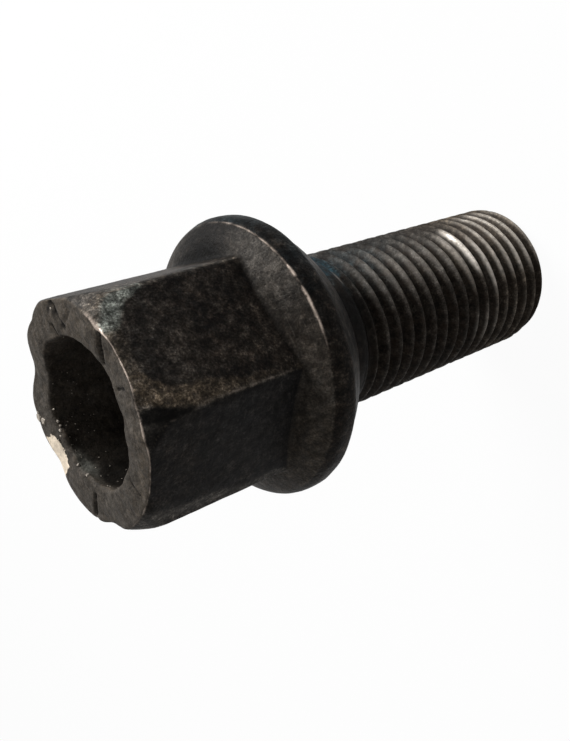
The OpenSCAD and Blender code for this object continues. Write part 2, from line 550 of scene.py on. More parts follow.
def end_rim(turn, s):
    """Height of the outer edge of the end face."""
    low = 0.05
    for at, depth, width in END_LOWS:
        low = low + depth * bump(turn, at, width)
    wave = rough(ring(8.6, turn, 0.0), 1.5, 3, s.seed + 11.0)
    return s.total_l / MM - np.maximum(low + 0.05 * wave, 0.02)


def lip_radius(turn, s):
    """Radius of the ragged lip of the hollow."""
    radius = s.hollow_d / MM / 2
    for at, step, width in LIP_WAVES:
        radius = radius + step * bump(turn, at, width)
    ragged = 0.02 + 0.06 * bump(turn, 185, 75)
    return radius + ragged * rough(ring(5.8, turn, 0.0), 0.9, 3, s.seed + 21.0)


def dented(radius, turn, z, s):
    """Takes the dents of the end's outer edge off a radius."""
    down = s.total_l / MM - z
    for at, depth, width, fade in EDGE_DENTS:
        radius = radius - depth * bump(turn, at, width) * hill(down, 0, fade)
    return radius


def groove_depth(points):
    """Depth of the grooves in the end face at points in the plane."""
    depth = np.zeros(len(points))
    for start, end, width, deep in END_GROOVES:
        line = end - start
        t = np.clip((points - start) @ line / (line @ line), 0, 1)
        gap = np.linalg.norm(points - start - t[:, None] * line, axis=1)
        depth = np.maximum(depth, deep * hill(gap, 0, width))
    return depth


def ease_rows(rows, weights, passes):
    """Rounds a stack of rings along the bolt, as much as each row's weight says."""
    for _ in range(passes):
        middle = (rows[:-2] + rows[2:]) / 2
        rows[1:-1] += weights[1:-1, None, None] * 0.5 * (middle - rows[1:-1])


def push_in(rows, depth):
    """Takes a depth off the radius of every point in a stack of rings."""
    size = np.linalg.norm(rows[..., :2], axis=2)
    rows[..., :2] *= ((size - np.maximum(depth, 0)) / size)[..., None]


def steps(number):
    """Equal steps over 0 to 1, without the 0."""
    return np.linspace(0, 1, number + 1)[1:]


def turned_rings(s, shank, turn):
    """Rings of the neck, the ball seat and the flange, and their heights."""
    neck_r = shank.neck_d / MM / 2
    seat_r = s.seat_r / MM
    flange_r = s.flange_d / MM / 2
    seat_z = s.seat_start / MM + math.sqrt(seat_r ** 2 - neck_r ** 2)
    outline = [(neck_r, shank.joint_z / MM)]
    for r in np.linspace(neck_r, s.seat_d / MM / 2, SEAT_POINTS):
        outline.append((r, seat_z - math.sqrt(seat_r ** 2 - r * r)))
    outline += [(flange_r, s.band_z / MM), (flange_r, s.band_end_z / MM),
                (flange_r - 0.10, s.band_end_z / MM + 0.30), (s.dome_d / MM / 2, s.dome_z / MM)]
    line = along_line(outline, TURNED_STEP)
    rows = np.stack([ring(r, turn, z) for r, z in line])
    skin = np.stack([rough(row, 2.2, 3, s.seed + 1.0) for row in rows])
    high = line[:, 1]
    strength = 0.35 * grow(high, s.seat_start / MM, 1.0) + 0.65 * grow(high, s.rim_low_z / MM, 0.3)
    push_in(rows, strength[:, None] * (0.5 + 0.5 * skin) * s.rough / MM * 1.3)
    ease_rows(rows, np.ones(len(rows)), 2)
    return rows, high


def hexagon_rings(s, turn, top_z):
    """Rings of the dome, and of the hexagon up to the outer edge of the end face."""
    outer = s.dome_d / MM / 2
    foot_z = s.dome_z / MM + 1.1
    # The foot of the flats lies where hexagon and dome meet, found in a few rounds
    for _ in range(4):
        foot_r = hex_radius(turn, foot_z + 0 * turn, s)
        foot_z = dome_height(foot_r, s)
    dome = []
    for t in steps(DOME_ROWS):
        r = outer + (foot_r - outer) * t
        dome.append(ring(r, turn, dome_height(r, s)))
    body = []
    for t in np.concatenate([np.linspace(0, PLAIN_SHARE, PLAIN_ROWS)[1:],
                             np.linspace(PLAIN_SHARE, 1, WORN_ROWS)[1:]]):
        z = foot_z + (top_z - foot_z) * t
        body.append(ring(dented(hex_radius(turn, z, s), turn, z, s), turn, z))
    return dome, body


def end_rings(s, turn, top_z, edge_r):
    """Rings of the end face with its rounded lip, and of the upper wall of the hollow."""
    lip_r = lip_radius(turn, s)
    soft = 0.28
    inner_rise = 0.02
    swell = 0.10
    face = []
    for t in steps(FACE_ROWS):
        r = edge_r + (lip_r + soft - edge_r) * t
        face.append(ring(r, turn, top_z + inner_rise * t + swell * math.sin(math.pi * t)))
    inner_z = top_z + inner_rise
    for t in steps(LIP_ROWS):
        r = lip_r + soft * (1 - math.sin(t * math.pi / 2))
        face.append(ring(r, turn, inner_z - soft * (1 - math.cos(t * math.pi / 2))))
    wall = []
    true_r = s.hollow_d / MM / 2
    for deep in np.linspace(0, WALL_DEPTH, WALL_ROWS + 1)[1:]:
        keep = math.exp(-deep / 1.1)
        z = (inner_z - soft) * keep + (s.total_l / MM - soft - 0.1) * (1 - keep) - deep
        wall.append(ring(true_r + (lip_r - true_r) * keep, turn, z))
    return face, wall


def floor_rings(s, turn, start_z):
    """Rings of the rest of the hollow, down to its floor, and the floor's lowest point."""
    true_r = s.hollow_d / MM / 2
    floor_z = s.total_l / MM - s.hollow_l / MM
    rows = []
    for t in steps(HOLLOW_ROWS):
        rows.append(ring(true_r, turn, start_z + (floor_z - start_z) * t))
    for t in steps(FLOOR_ROWS)[:-1]:
        rows.append(ring(true_r * (1 - t), turn, floor_z - s.cone_l / MM * t))
    return rows, np.array([0, 0, floor_z - s.cone_l / MM])


def head_rings(s, shank):
    """Rings of points from the neck over the seat, flange and hexagon into the hollow, with their zones."""
    n = shank.steps
    few = np.arange(n) * TURN / n
    many = np.arange(2 * n) * TURN / (2 * n)
    turned, high = turned_rings(s, shank, few)
    top_z = end_rim(many, s)
    dome, body = hexagon_rings(s, many, top_z)
    face, wall = end_rings(s, many, top_z, np.linalg.norm(body[-1][:, :2], axis=1))
    fine = np.stack(dome + body + face + wall)
    first_body, first_face = len(dome), len(dome) + len(body)
    first_lip, first_wall = first_face + FACE_ROWS, first_face + len(face)

    # Forged skin: unevenness and pits, and the grooves of the end face
    flat_rows = fine.reshape(-1, 3)
    skin = rough(flat_rows, 2.6, 4, s.seed + 2.0).reshape(fine.shape[:2])
    pits = rough(flat_rows, 0.7, 3, s.seed + 5.0).reshape(fine.shape[:2])
    lost = s.rough / MM * (0.5 + 0.5 * skin) + PIT_DEPTH * np.maximum(pits, 0)
    lost[:len(EASE_IN)] *= np.array(EASE_IN)[:, None]
    push_in(fine[:first_face], lost[:first_face])
    on_face = slice(first_face, first_wall)
    cut = groove_depth(fine[on_face].reshape(-1, 3)[:, :2]).reshape(-1, 2 * n)
    uneven = 0.05 + 0.09 * skin[on_face] + 0.03 * pits[on_face]
    blend_in = np.clip(np.arange(len(face)) / 3, 0.25, 1)[:, None]
    fine[on_face, :, 2] -= cut + uneven * blend_in
    fine[first_wall:, :, :2] *= (1 + 0.004 * skin[first_wall:] + 0.003 * pits[first_wall:])[..., None]
    weights = np.full(len(fine), 0.5)
    weights[first_face:] = 0.3
    ease_rows(fine, weights, 1)
    at_foot = np.zeros(len(fine))
    at_foot[first_body - 3:first_body + 3] = 1
    ease_rows(fine, at_foot, 4)
    fine[..., 2] = np.minimum(fine[..., 2], s.total_l / MM - SKIN)
    rest, tip = floor_rings(s, few, fine[-1][::2, 2])

    zones = ["seat" if z < s.rim_low_z / MM + 0.1 else "rim" for z in high[:-1]] + ["brim"]
    for zone, rows in (("dome", first_body), ("hex", len(body) - 1), ("brink", 1),
                       ("end", first_lip + 3 - first_face)):
        zones += [zone] * rows
    rings = [*turned, *fine, *rest]
    zones += ["hollow"] * (len(rings) - len(zones))
    return rings, zones, tip


def stitch(ids):
    """Faces between neighbouring rings, which have the same or twice or half the points."""
    faces = []
    for low, high in zip(ids[:-1], ids[1:]):
        a, b = len(low), len(high)
        for i in range(min(a, b)):
            j = (i + 1) % min(a, b)
            if a == b:
                faces.append((low[i], low[j], high[j], high[i]))
            elif b == 2 * a:
                k, m, o = high[2 * i], high[2 * i + 1], high[(2 * i + 2) % b]
                faces += [(low[i], m, k), (low[i], low[j], m), (low[j], o, m)]
            else:
                k, m, o = low[2 * i], low[2 * i + 1], low[(2 * i + 2) % a]
                faces += [(k, m, high[i]), (m, high[j], high[i]), (m, o, high[j])]
    return faces


# Masks of wear and dirt


def points_of(mesh):
    """The mesh's points, in millimetres."""
    co = np.empty(len(mesh.vertices) * 3)
    mesh.vertices.foreach_get("co", co)
    return co.reshape(-1, 3) / MM


def bend_masks(mesh, passes):
    """How much each point stands out of, or lies in, its surroundings, and the points themselves."""
    co = points_of(mesh)
    total = len(co)
    pairs = np.empty(len(mesh.edges) * 2, int)
    mesh.edges.foreach_get("vertices", pairs)
    a, b = pairs.reshape(-1, 2).T
    normal = np.empty(total * 3)
    mesh.vertex_normals.foreach_get("vector", normal)
    normal = normal.reshape(-1, 3)
    gap = np.linalg.norm(co[a] - co[b], axis=1) + 1e-9
    weight = 1 / gap
    share_of = np.bincount(a, weight, total) + np.bincount(b, weight, total) + 1e-9
    pull = np.zeros((total, 3))
    for k in range(3):
        step = (co[b, k] - co[a, k]) * weight
        pull[:, k] = np.bincount(a, step, total) - np.bincount(b, step, total)
    mean_gap = (np.bincount(a, gap, total) + np.bincount(b, gap, total))
    mean_gap /= np.bincount(a, minlength=total) + np.bincount(b, minlength=total) + 1e-9
    bend = -(pull / share_of[:, None] * normal).sum(1) / mean_gap ** 2
    bend = np.clip(bend, -4, 4)
    for _ in range(passes):
        near = np.bincount(a, bend[b] * weight, total) + np.bincount(b, bend[a] * weight, total)
        bend = 0.5 * bend + 0.5 * near / share_of
    return bend, co


def attribute(mesh, name, values):
    """Stores one number a point."""
    found = mesh.attributes.get(name) or mesh.attributes.new(name, "FLOAT", "POINT")
    found.data.foreach_set("value", np.asarray(values, np.float32))


# Painted highlights on the thread's crests, laid as bare steel: height, half height, strength, angles between
# which they lie
PAINTED_HIGHLIGHT_BANDS = (
    (10.30, 0.50, 1.0, 12.0, 66.0),
    (11.85, 0.45, 0.22, 0.0, 62.0),
    (8.80, 0.50, 0.55, -8.0, 50.0),
    (7.30, 0.50, 0.40, 0.0, 66.0),
    (4.0, 2.80, 0.50, 0.0, 84.0),
    (10.3, 1.60, 0.22, -45.0, -8.0),
)

# How light the crests are at some angles: worn grey all round, with a painted highlight strongest between 30
# and 50 degrees
CREST_WEAR_AND_HIGHLIGHT = ((-180, -60, -30, 0, 15, 30, 50, 62, 75, 100, 180),
          (0.6, 0.5, 0.45, 0.40, 0.60, 1.0, 1.0, 0.8, 0.55, 0.5, 0.6))

# How worn the dome is at some angles
DOME_WEAR = ((-90, -10, 15, 40, 55, 66, 80, 110),
             (0.7, 0.6, 0.12, 0.50, 0.70, 0.4, 0.15, 0.1))

# Where the tan film on the upper flat ends at some heights, and how strong it is there
FILM_EDGE = ((36.5, 40.2, 42.5, 43.7, 44.8, 45.8, 46.4, 46.9, 47.7),
             (-4.4, -3.8, -3.4, -3.2, -3.2, -2.8, -2.0, -1.6, -1.6))
FILM_STRENGTH = ((36.5, 40.0, 42.5, 44.5, 46.5), (0.25, 0.35, 0.60, 0.95, 1.0))

# Where the dark corner beside the camera starts on the upper flat, and the arc of it on the lower one
CORNER_EDGE = ((43.5, 44.6, 45.7, 46.6, 47.5), (-5.2, -4.9, -4.6, -4.25, -3.75))
CORNER_ARC = ((2.4, 2.9, 3.9, 4.6, 4.9), (47.8, 47.4, 46.8, 45.3, 44.4))

# Lower border of the grey-green crust across the upper flat
CRUST_EDGE = ((1.6, 2.7, 3.7, 4.3, 4.9), (46.8, 46.0, 45.2, 43.8, 42.8))

# Bend of the surface, per millimetre, that counts as a full edge
SHARP_BEND = 1.1

# Dirt in the crack of the end face: half width, and the angles and radii of its spots
CRACK_WIDTH = math.sqrt(0.06)
CRACK_DIRT = ((95, 8.3), (92, 7.6), (86, 6.6), (98, 7.9))

# The cream paint: angles it lies between, and its inner and outer border at some angles
PAINT_FROM, PAINT_TO = 193.5, 222
PAINT_INSIDE = ((193, 201, 212, 222), (6.9, 6.15, 6.25, 6.7))
PAINT_OUTSIDE = ((193, 204, 216, 222), (8.7, 8.75, 8.9, 8.3))


class Skin:
    """Where each point of the bolt lies: millimetres over the tip, angles from +X, and zones.

    The upper flat runs from +X to 60 degrees and the lower one from -60 degrees to +X; across is
    measured from the middle of a flat towards its next corner.
    """

    def __init__(self, mesh, zone, sizes, pitch):
        self.mesh = mesh
        self.zone = zone
        self.sizes = sizes
        self.pitch = pitch
        self.total = sizes.total_l / MM
        self.bend, self.points = bend_masks(mesh, 2)
        self.x, self.y, self.z = self.points.T
        self.turn = np.arctan2(self.y, self.x)
        self.degrees = np.degrees(self.turn)
        self.radius = np.hypot(self.x, self.y)
        flat = np.floor((self.turn % TURN) / SIXTH)
        middle = (flat + 0.5) * SIXTH
        self.across = -self.x * np.sin(middle) + self.y * np.cos(middle)
        self.hexagon = zone == "hex"
        self.upper_flat = self.hexagon & (flat == 0)
        self.lower_flat = self.hexagon & (flat == 5)
        self.face = self.on("end", "brink")
        self.lit_side = bump(self.turn, 72, 34)

    def on(self, *zones):
        """Which points lie in some zones."""
        return np.isin(self.zone, zones)

    def store(self, name, values):
        """Stores one number a point, kept between 0 and 1."""
        attribute(self.mesh, name, np.clip(values, 0, 1))


def thread_masks(skin, crest):
    """Painted highlights on a few crests, a painted blue sheen on the lit side under the seat, and the tan
    end of the thread.
    """
    z, turn, degrees = skin.z, skin.turn, skin.degrees
    shank = skin.on("shank")
    glint = bump(turn, 46, 10) * hill(z, 25.85, 0.30) * shank
    # Painted sheen: blue on the side where the light falls; the glint is a painted highlight on the neck
    painted_blue_sheen = hill(z, 26.6, 1.2) + 0.3 * skin.on("rim") + 0.35 * grow(z, 13, 8) * shank
    skin.store("painted_blue_sheen", painted_blue_sheen * skin.lit_side + glint)

    # Painted highlight bands over the crests, and a painted highlight on the tip's edge
    painted_highlight = 0
    for height, width, strength, start, end in PAINTED_HIGHLIGHT_BANDS:
        window = grow(degrees, start, 14) * grow(degrees, end, -14)
        middle = height + skin.pitch * (degrees - 30) / 360
        painted_highlight = np.maximum(painted_highlight, strength * window * hill(z, middle, width))
    painted_highlight = painted_highlight + 0.12 * bump(turn, 38, 18) * grow(z, 25, -2)
    painted_highlight = painted_highlight + 0.06 * bump(turn, -24, 16) * grow(z, 10, -2)
    tip_edge_highlight = hill(skin.radius, 6.2, 0.4) * hill(z, 0.5, 0.6) * bump(turn, 45, 45)
    skin.store("painted_highlight", (painted_highlight + 0.24 * glint + 0.6 * tip_edge_highlight) * shank)

    # Painted shade: on the shaded side and near the tip the crest mask narrows to thin lines
    shaded_side = grow(degrees, 25, -30) * grow(degrees, -110, 20)
    tip_side = 0.8 * grow(z, 9.6, -1.2) * bump(turn, 60, 60)
    skin.store("crest", np.maximum(crest ** (1 + 1.6 * np.maximum(shaded_side, tip_side)), 0.9 * glint))
    skin.store("crest_wear_and_highlight", np.interp(degrees, *CREST_WEAR_AND_HIGHLIGHT) + 0.25 * grow(z, 11, -3))
    tan_turn = 0.9 * bump(turn, 28, 22) * hill(z, 11.8, 0.55)
    skin.store("tip", (grow(z, 11.5, -5) * (0.35 + 0.65 * bump(turn, 60, 50)) + tan_turn) * shank)


def hexagon_masks(skin):
    """Films and rubbed strips of the hexagon, the dome and the end face, with painted light on the seat's lit
    side and on the dome's shaded side; gives its lines and its dust.
    """
    z, turn, across = skin.z, skin.turn, skin.across
    upper, lower = skin.upper_flat, skin.lower_flat
    skin.store("smooth", lower * (0.55 + 0.35 * grow(z, 44.5, -4) * grow(across, -4.5, 4)))

    # The worn strips, the end chamfer and the lines between them
    flat, strip, outline = hex_parts(turn, z, skin.sizes)
    on_strip = grow(np.minimum(flat, outline), strip, 0.05) * skin.hexagon
    on_chamfer = grow(np.minimum(flat, strip), outline, 0.05) * skin.hexagon
    facet_line = hill(np.minimum(flat, strip), outline, 0.04) * skin.hexagon * (z > skin.total - 4.0)
    corner_line = bump(turn, 0, 0.8) * skin.hexagon * grow(z, 35.5, 1.5) * grow(z, 44.4, -0.8)
    beside_line = grow(z, 46.5, 0.9) * grow(across, -4.2, 0.6) * upper * (1 - on_chamfer)

    # Tan film on the worn corner, and rusty earth on the end face
    ragged = 0.35 * rough(skin.points[upper], 0.8, 3, skin.sizes.seed + 31.0)
    earth = np.zeros(len(z))
    earth[upper] = grow(np.interp(z[upper], *FILM_EDGE) + ragged, across[upper], 0.35)
    earth = earth * np.interp(z, *FILM_STRENGTH) * grow(across, np.interp(z, *CORNER_EDGE), 0.2)
    earth = earth + 0.5 * on_chamfer * upper * grow(across, 1.4, 0.8)
    # Earth in the hollow, and painted light: the dome's shaded lower side made lighter
    earth = earth + 0.4 * skin.on("hollow") + 0.35 * skin.on("dome") * bump(turn, -40, 40)
    rusty = 0.22 + 0.25 * bump(turn, 80, 50) + 0.35 * bump(turn, -22, 26) * grow(skin.radius, 7.0, 0.6)
    skin.store("earth", earth + rusty * skin.face + 0.55 * beside_line)

    # Dull grey-brown wear, strongest on the end face
    worn = on_strip * np.where(lower, 0.9, np.where(upper, 0.1, 0.5)) + 0.45 * on_chamfer
    worn = worn + 0.45 * facet_line + 0.45 * corner_line + 0.9 * skin.on("hollow")
    worn = worn + 0.14 * upper * grow(z, 41.5, 3) + 0.35 * beside_line
    worn = worn + 0.5 * on_chamfer * upper * grow(across, -4.4, 0.5)
    # Painted highlight: the seat lighter on the side where the light falls
    worn = worn + 0.45 * skin.on("seat") * bump(turn, 75, 45) * grow(z, 28.5, 2)
    worn = worn + (0.85 + 0.15 * bump(turn, 20, 30)) * skin.face
    skin.store("worn", worn + skin.on("dome") * np.interp(skin.degrees, *DOME_WEAR))

    # Grey-green crust beside the upper corner, and dust under the lip of the hollow
    crust = grow(z, np.interp(across, *CRUST_EDGE), 0.5) * grow(across, 1.6, 0.5)
    dust = skin.on("hollow") * bump(turn, -128, 16) * hill(z, 47.2, 0.55)
    skin.store("moss", crust * upper * (1 - on_chamfer) + 0.8 * dust)
    return facet_line, corner_line, dust


def bright_lines(skin, facet_line, corner_line):
    """Lines rubbed bare along the end face's outer edge, the flange's front edge and the facets."""
    z, turn = skin.z, skin.turn
    strong = 0.15 + 0.95 * bump(turn, 44, 12) + 0.70 * bump(turn, 20, 14) + 0.65 * bump(turn, -5, 14)
    end_line = skin.on("brink") * np.clip(strong + 0.55 * bump(turn, -36, 26), 0, 1)
    beside = 0.8 * bump(turn, 47, 8) + 0.5 * bump(turn, 22, 24)
    end_line = end_line + beside * skin.hexagon * grow(z, skin.total - 0.36, 0.2)
    flange_line = 0.06 + 0.46 * bump(turn, 58, 26) + bump(turn, 22, 14) * (1 - 0.8 * bump(turn, 30, 2.0))
    crust_line = 0.5 * facet_line * skin.upper_flat * grow(skin.across, 1.4, 0.5)
    ridge_line = 0.42 * facet_line * skin.lower_flat * grow(skin.across, 2.2, 0.5)
    bright = end_line + flange_line * skin.on("brim") + 0.30 * corner_line + crust_line + ridge_line
    shown = bright > 0.01
    torn = rough(skin.points[shown], 0.45, 2, skin.sizes.seed + 57.0)
    bright[shown] *= 0.45 + 0.55 * np.clip(0.5 + 0.9 * torn, 0, 1)
    skin.store("bright", bright)


def shade_and_dirt_mask(skin, dust):
    """Painted shade in the hollow, under the seat and round the flange, darker marks in the corner beside the
    camera, and dirt in the crack.
    """
    z, turn, across = skin.z, skin.turn, skin.across
    hollow, shank, seat, dome = skin.on("hollow"), skin.on("shank"), skin.on("seat"), skin.on("dome")
    # Painted shade deepening into the hollow, strongest on the wall the lamp lights, less where dust lies
    deep = hollow * grow(z, skin.total - 0.3, -0.9) * (0.15 + 0.95 * bump(turn, -95, 52)) * (1 - 0.7 * dust)
    arc = np.clip((z - np.interp(across, *CORNER_ARC)) / 0.5 + 0.3, 0, 0.62)
    deep = deep + arc * skin.lower_flat * grow(across, 2.2, 0.5)
    deep = deep + skin.upper_flat * np.clip((np.interp(z, *CORNER_EDGE) - across) / 0.15 + 0.5, 0, 1)
    deep = deep + bump(turn, -0.8, 0.9) * skin.hexagon * grow(z, 44.4, 0.6)
    for at, r in CRACK_DIRT:
        gap = np.hypot(*(skin.points[:, :2] - polar(at, r)).T)
        deep = deep + 0.9 * hill(gap, 0, CRACK_WIDTH) * (z > skin.total - 1)

    # Painted shade: soft shadows of the flange, the dome and the flats, the rim, dome and shank darker on the
    # side the light falls on, and shade under the seat; the end face and hollow darker all over
    deep = deep + 0.55 * skin.hexagon * grow(z, 36.3, -0.9) + 0.08 * skin.upper_flat + 0.06 * skin.lower_flat
    deep = deep + 0.72 * skin.on("rim") * (0.4 + 0.6 * skin.lit_side)
    deep = deep + dome * (0.45 * grow(z, skin.sizes.dome_z / MM + 0.95, 0.5) + 0.85 * bump(turn, 90, 30))
    shade_under_seat = 0.80 * grow(z, 24.6, 1.2) * grow(z, 28.6, -0.5) * (seat | shank) + 0.25 * seat
    deep = deep + shade_under_seat * np.clip(1 - bump(turn, 45, 12) - bump(turn, 80, 25), 0, 1)
    deep = deep + shank * (0.45 * hill(z, 24, 2.2) * bump(turn, 20, 22) + 0.55 * bump(turn, 82, 27))
    skin.store("deep", deep + 0.30 * skin.face + 0.08 * hollow)


def paint_mask(skin):
    """The patch of cream paint on the end face."""
    around = skin.degrees % 360
    soft = 0.4
    sides = np.minimum(around - PAINT_FROM, PAINT_TO - around) / 4
    inside = (skin.radius - np.interp(around, *PAINT_INSIDE)) / soft
    outside = (np.interp(around, *PAINT_OUTSIDE) - skin.radius) / soft
    skin.store("paint", np.minimum(np.minimum(sides, inside), outside) * skin.face)


def store_masks(skin, crest):
    """Stores where the skin is rubbed, dirty, smooth or painted, and where light and shade are painted on it.
    """
    skin.store("edge", skin.bend / SHARP_BEND)
    skin.store("cavity", -skin.bend / SHARP_BEND)
    skin.store("end", skin.on("end", "brink", "hollow"))
    skin.store("dome", skin.on("dome"))
    thread_masks(skin, crest)
    facet_line, corner_line, dust = hexagon_masks(skin)
    bright_lines(skin, facet_line, corner_line)
    shade_and_dirt_mask(skin, dust)
    paint_mask(skin)


# Materials


def look_group(name, result, **inputs):
    """A shader group that reads a place and a few numbers: its inputs as wires."""
    rows = [("Place", "Vector", None)]
    rows += [(label.capitalize(), "Float", value) for label, value in inputs.items()]
    return new_group(name, "ShaderNodeTree", rows, (result, "Float"))[1].values()


def mottle_group():
    """Patches of one film over another, with a broken border."""
    place, size, cover, softness, shift = look_group("oxide_mottle", "Mask", size=1.0, cover=0.5,
                                                     softness=0.1, shift=0.0)
    field = noise_at(place, 1.0 / size, 8.0, 0.66, shift)
    # The noise lies between about 0.29 and 0.71, so the cover moves the border from one to the other
    middle = cover.fit(-0.42, 0.71)
    return close_group(ramp(field, middle - softness, middle + softness))


def speck_group():
    """Small irregular flecks of dust and bare metal that gather in clusters."""
    place, size, wanted = look_group("fine_specks", "Mask", size=0.15, share=0.3)
    fine = noise_at(place, 1.0 / size, 3.0, 0.75)
    # A wide noise gathers the flecks in clusters
    wide = noise_at(place, 0.11 / size, 3.0, 0.6)
    start = wanted.fit(-0.40, 0.92)
    return close_group(ramp(wide.fit(0.35, fine), start, start + 0.10))


def patina_group():
    """Fine light and dark grain of a film, as a factor on its colour."""
    place, size, contrast = look_group("patina", "Factor", size=1.0, contrast=1.0)
    coarse = noise_at(place, 1.0 / size, 6.0, 0.72)
    fine = noise_at(place, 4.5 / size, 4.0, 0.65)
    # Ten times the noise's distance from its middle is about one doubling of the colour
    away = (coarse.fit(0.62, fine * 0.38) - 0.5) * 10.0 * contrast
    return close_group(put(away.tree, "ShaderNodeMath", {0: 2.0, 1: away}, operation="POWER"))


def streak_group():
    """Fine lines drawn along the bolt's round, and their breaks."""
    place, size, length_of = look_group("round_streaks", "Mask", size=0.15, length=3.0)
    x, y, z = split(place)
    radius = calc("SQRT", x * x + y * y)
    mean_radius = 10.0
    lengthwise = calc("ABSOLUTE", calc("ARCTAN2", y, x)) * mean_radius / length_of
    field = noise_at(join(radius / size, lengthwise, z / size), 1.0, 3.0, 0.6)
    return close_group(ramp(field, 0.54, 0.72))


def rub_group():
    """Where handling rubs an edge, broken up by the grain of the skin."""
    place, edge, reach, grain = look_group("edge_rub", "Mask", edge=0.0, reach=0.5, grain=0.5)
    coarse = noise_at(place, 0.4 / grain, 2.0)
    fine = noise_at(place, 2.5 / grain, 4.0, 0.7)
    field = coarse.fit(0.65, fine * 0.35)
    return close_group(ramp(edge * reach + (field - 0.5), 0.25, 0.62))


def grain_group():
    """Height of the forged skin: soft lumps and fine pits."""
    place, size, pits = look_group("forged_skin", "Height", size=0.5, pits=0.5)
    lumps = noise_at(place, 1.0 / size, 7.0, 0.62)
    cells = put(place.tree, "ShaderNodeTexVoronoi", {"Vector": place, "Scale": 2.6 / size}, "Distance",
                feature="SMOOTH_F1")
    return close_group(lumps - ramp(cells, 0.0, 0.35, 1.0, 0.0) * pits * 0.3)


def bare_material(name):
    """An empty material."""
    material = bpy.data.materials.new(name)
    material.use_nodes = True
    material.node_tree.nodes.clear()
    return material


def scaled(colour_of, factor):
    """A colour made lighter or darker by a factor."""
    return put(factor.tree, "ShaderNodeVectorMath", {0: colour_of, "Scale": factor}, operation="SCALE")


class SteelKit:
    """One material under way: its base colour, and short ways to place the shared groups."""

    def __init__(self, name, groups):
        self.tree = bare_material(name).node_tree
        self.groups = groups
        coordinates = put(self.tree, "ShaderNodeTexCoord", out="Object")
        self.place = put(self.tree, "ShaderNodeVectorMath", {0: coordinates, 1: (1 / MM,) * 3},
                         operation="MULTIPLY")
        self.base = None

    def read(self, name):
        """A number stored on the mesh."""
        return put(self.tree, "ShaderNodeAttribute", out="Fac", attribute_name=name)

    def group(self, key, **inputs):
        """Places a shared group and gives its output."""
        named = {label.capitalize(): value for label, value in inputs.items()}
        return put(self.tree, "ShaderNodeGroup", {"Place": self.place, **named}, node_tree=self.groups[key])

    def mottle(self, size, cover, softness, shift):
        """Patches of a size in millimetres; each shift draws its own."""
        return self.group("mottle", size=size, cover=cover, softness=softness, shift=shift)

    def lay(self, mask, film):
        """Lays a colour over the base where a mask says so."""
        over = film if isinstance(film, Wire) else full(film)
        self.base = put(self.tree, "ShaderNodeMix", {"Factor": mask, "A": self.base, "B": over}, "Result",
                        data_type="RGBA")

    def start(self, mask, first, second):
        """Sets the base to two colours in patches."""
        self.base = full(first)
        self.lay(mask, second)

    def shade(self, factor):
        """Makes the base lighter or darker."""
        self.base = scaled(self.base, factor)

    def finish(self, roughness, metallic, height, depth, shine):
        """The surface shader and its output."""
        raised = put(self.tree, "ShaderNodeBump", {"Height": height, "Distance": depth * MM, "Strength": 1.0})
        surface = put(self.tree, "ShaderNodeBsdfPrincipled",
                      {"Base Color": self.base, "Roughness": roughness, "Metallic": metallic,
                       "Normal": raised, "Specular IOR Level": shine})
        plug(self.tree.nodes.new("ShaderNodeOutputMaterial").inputs["Surface"], surface)


def head_material(groups, looks):
    """Forged skin of the seat, the flange and the hexagon."""
    kit = SteelKit("forged_head_steel", groups)
    smooth, end, dome = kit.read("smooth"), kit.read("end"), kit.read("dome")
    broken = kit.mottle(0.6, 0.62, 0.2, 17.0)
    film = kit.mottle(0.5, 0.55, 0.2, 31.0)

    # Oxide skin, and the films of each part over it
    kit.start(kit.mottle(2.4, 0.50, 0.16, 1.0), looks.black, looks.brown)
    kit.lay(kit.mottle(0.45, 0.42, 0.10, 4.0) * 0.22, looks.rust)
    kit.lay(smooth * 0.8, looks.slate)
    # Painted sheen: blue on the side where the light falls, with the painted highlight on the neck
    kit.lay(kit.mottle(2.0, 0.60, 0.14, 9.0) * kit.read("painted_blue_sheen"), looks.blue)
    kit.lay(kit.read("worn") * broken.fit(0.5, 0.5), looks.ash)
    kit.lay(kit.group("streaks", size=0.16, length=3.5) * dome.fit(0.50, smooth * 0.22), looks.ash)
    kit.lay(kit.read("earth") * (film * 0.85), looks.earth)
    kit.lay(kit.read("moss") * film.fit(0.6, 0.4), looks.moss)
    contrast = end.fit(-1.05, dome.fit(-0.70, smooth.fit(-0.45, 1.8)))
    kit.shade(kit.group("patina", size=0.75, contrast=contrast))

    # Flecks, rubbed edges, the bright broken lines, painted shade with dirt in the crack, and paint
    specks = kit.group("specks", size=0.15, share=0.14)
    kit.lay(specks * dome.fit(0.2, smooth.fit(-0.45, 0.75)), looks.earth)
    kit.lay(kit.group("rub", edge=kit.read("edge"), reach=0.42, grain=0.6) * 0.35, looks.earth)
    bright = ramp(kit.read("bright") * broken.fit(0.8, 0.2), 0.05, 0.60)
    kit.lay(bright, looks.tan)
    # Painted shade: black laid into creases and recesses
    kit.lay(ramp(kit.read("cavity"), 0.10, 0.75) * 0.85, looks.black)
    # Painted shade from the deep mask, with the dirt in the crack
    kit.shade(kit.read("deep").fit(-0.92, 1.0))
    paint = ramp(kit.mottle(0.5, 0.5, 0.3, 21.0) + (kit.read("paint") - 0.5), 0.45, 0.55)
    kit.lay(paint, scaled(tuple(looks.paint), kit.group("patina", size=0.5, contrast=0.2)))

    grain = kit.group("grain", size=0.65, pits=0.6)
    roughness = end.fit(0.12, grain.fit(0.22, looks.gloss - 0.11))
    roughness = paint.fit(0.3, bright.fit(-0.10, roughness))
    metal = bright.fit(0.5, 0.05) * (1.0 - paint)
    kit.finish(roughness, metal, grain * smooth.fit(-0.65, 1.0), 0.11, looks.shine)


